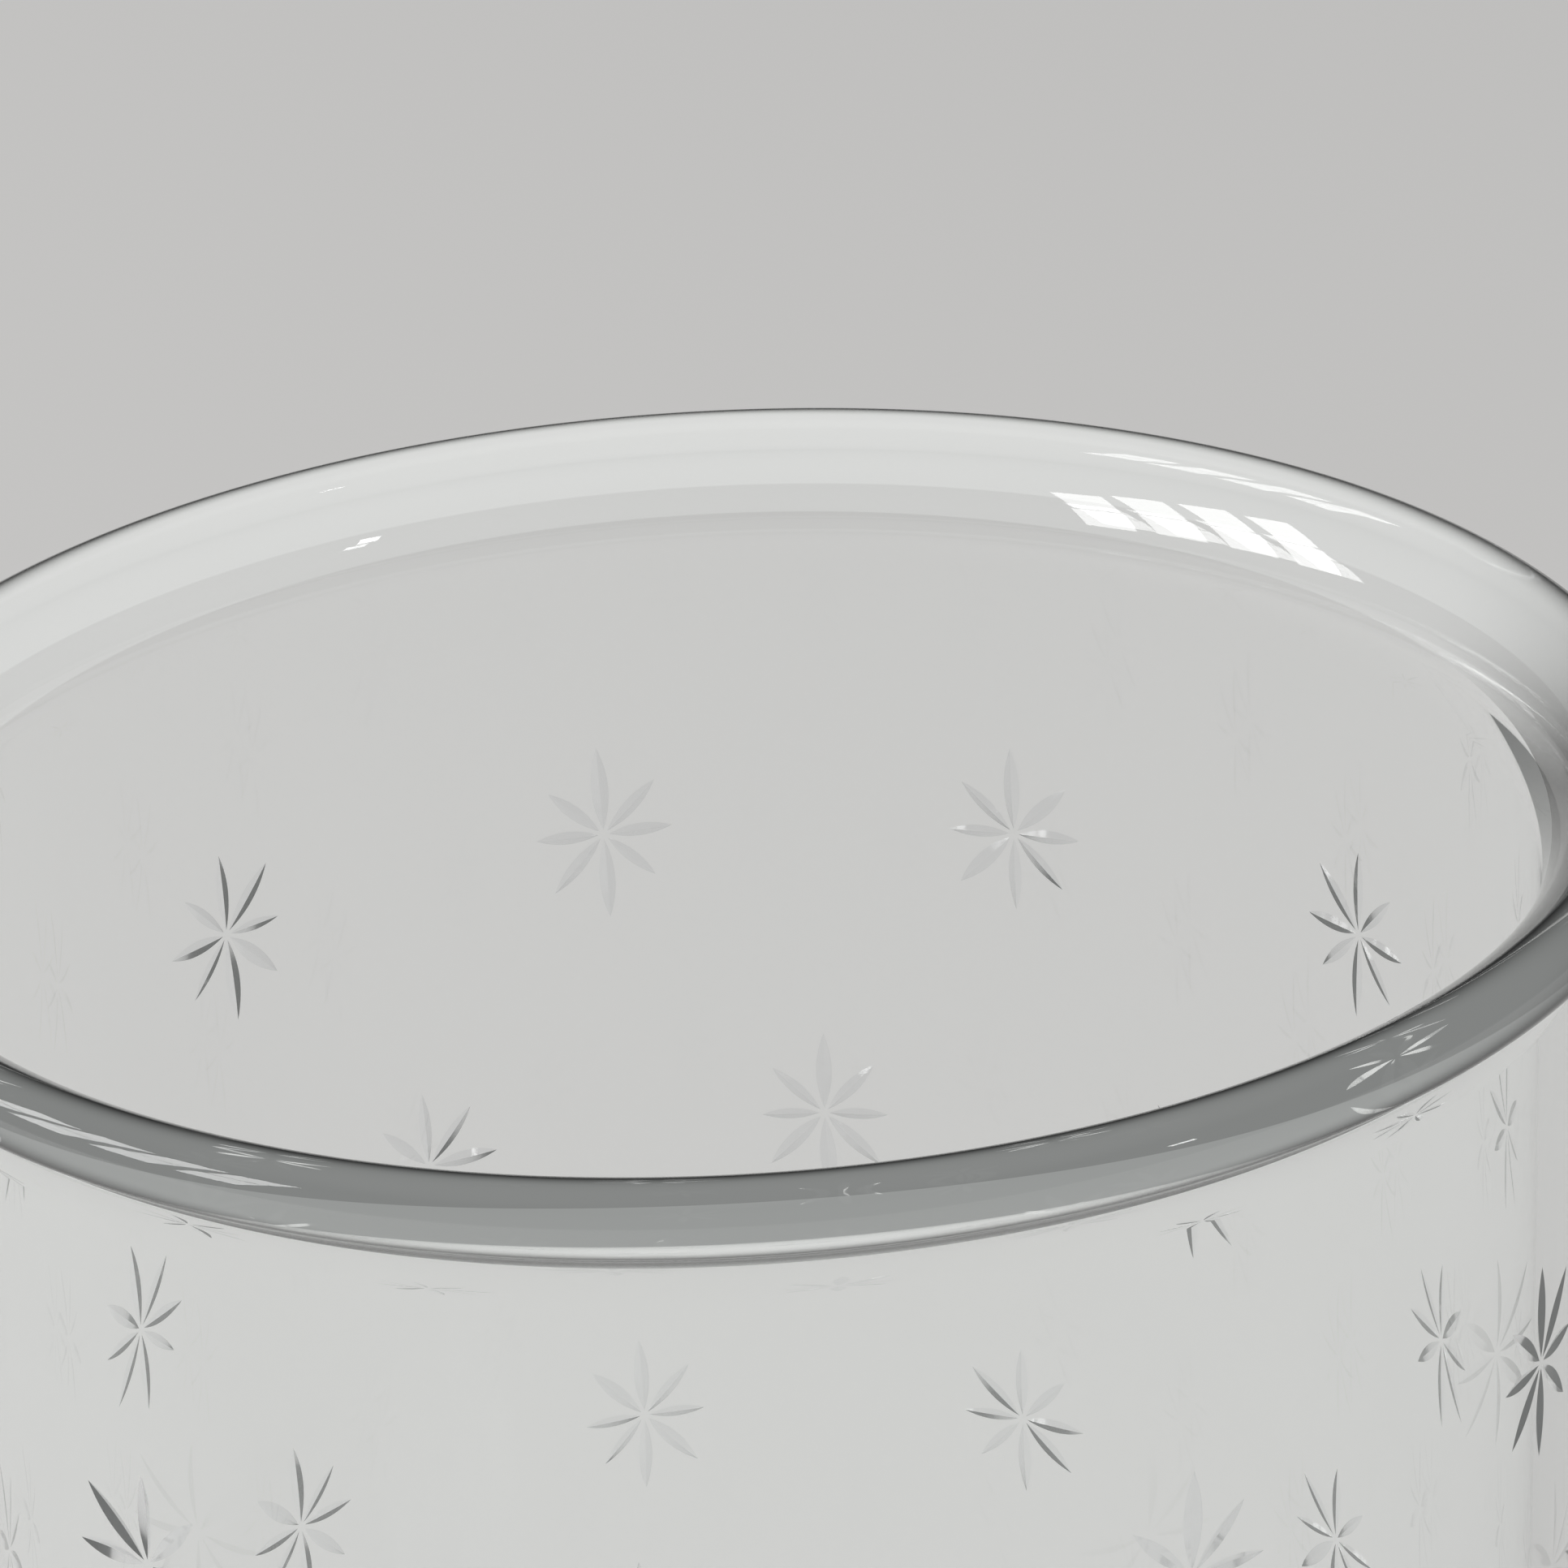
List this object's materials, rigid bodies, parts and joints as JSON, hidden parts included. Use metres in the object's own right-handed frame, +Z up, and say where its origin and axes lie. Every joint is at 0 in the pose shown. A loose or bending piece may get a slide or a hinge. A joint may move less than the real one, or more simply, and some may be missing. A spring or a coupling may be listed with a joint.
{
  "type": "mixing glass",
  "caption": "Straight glass for stirring drinks, with a round-edged lip that turns outwards, a heavy base and rows of cut stars.",
  "frame": {"origin": "middle of the underside, on the surface the glass stands on", "axes": "+Z up, along the glass's axis towards its mouth; the glass is round, so X and Y are free, and a star of the second row stands just right of +Y"},
  "size_m": [0.096, 0.096, 0.15],
  "materials": {
    "clear_glass": "polished clear"
  },
  "bodies": {
    "root": {"glass_vessel": "clear_glass"}
  },
  "joints": []
}
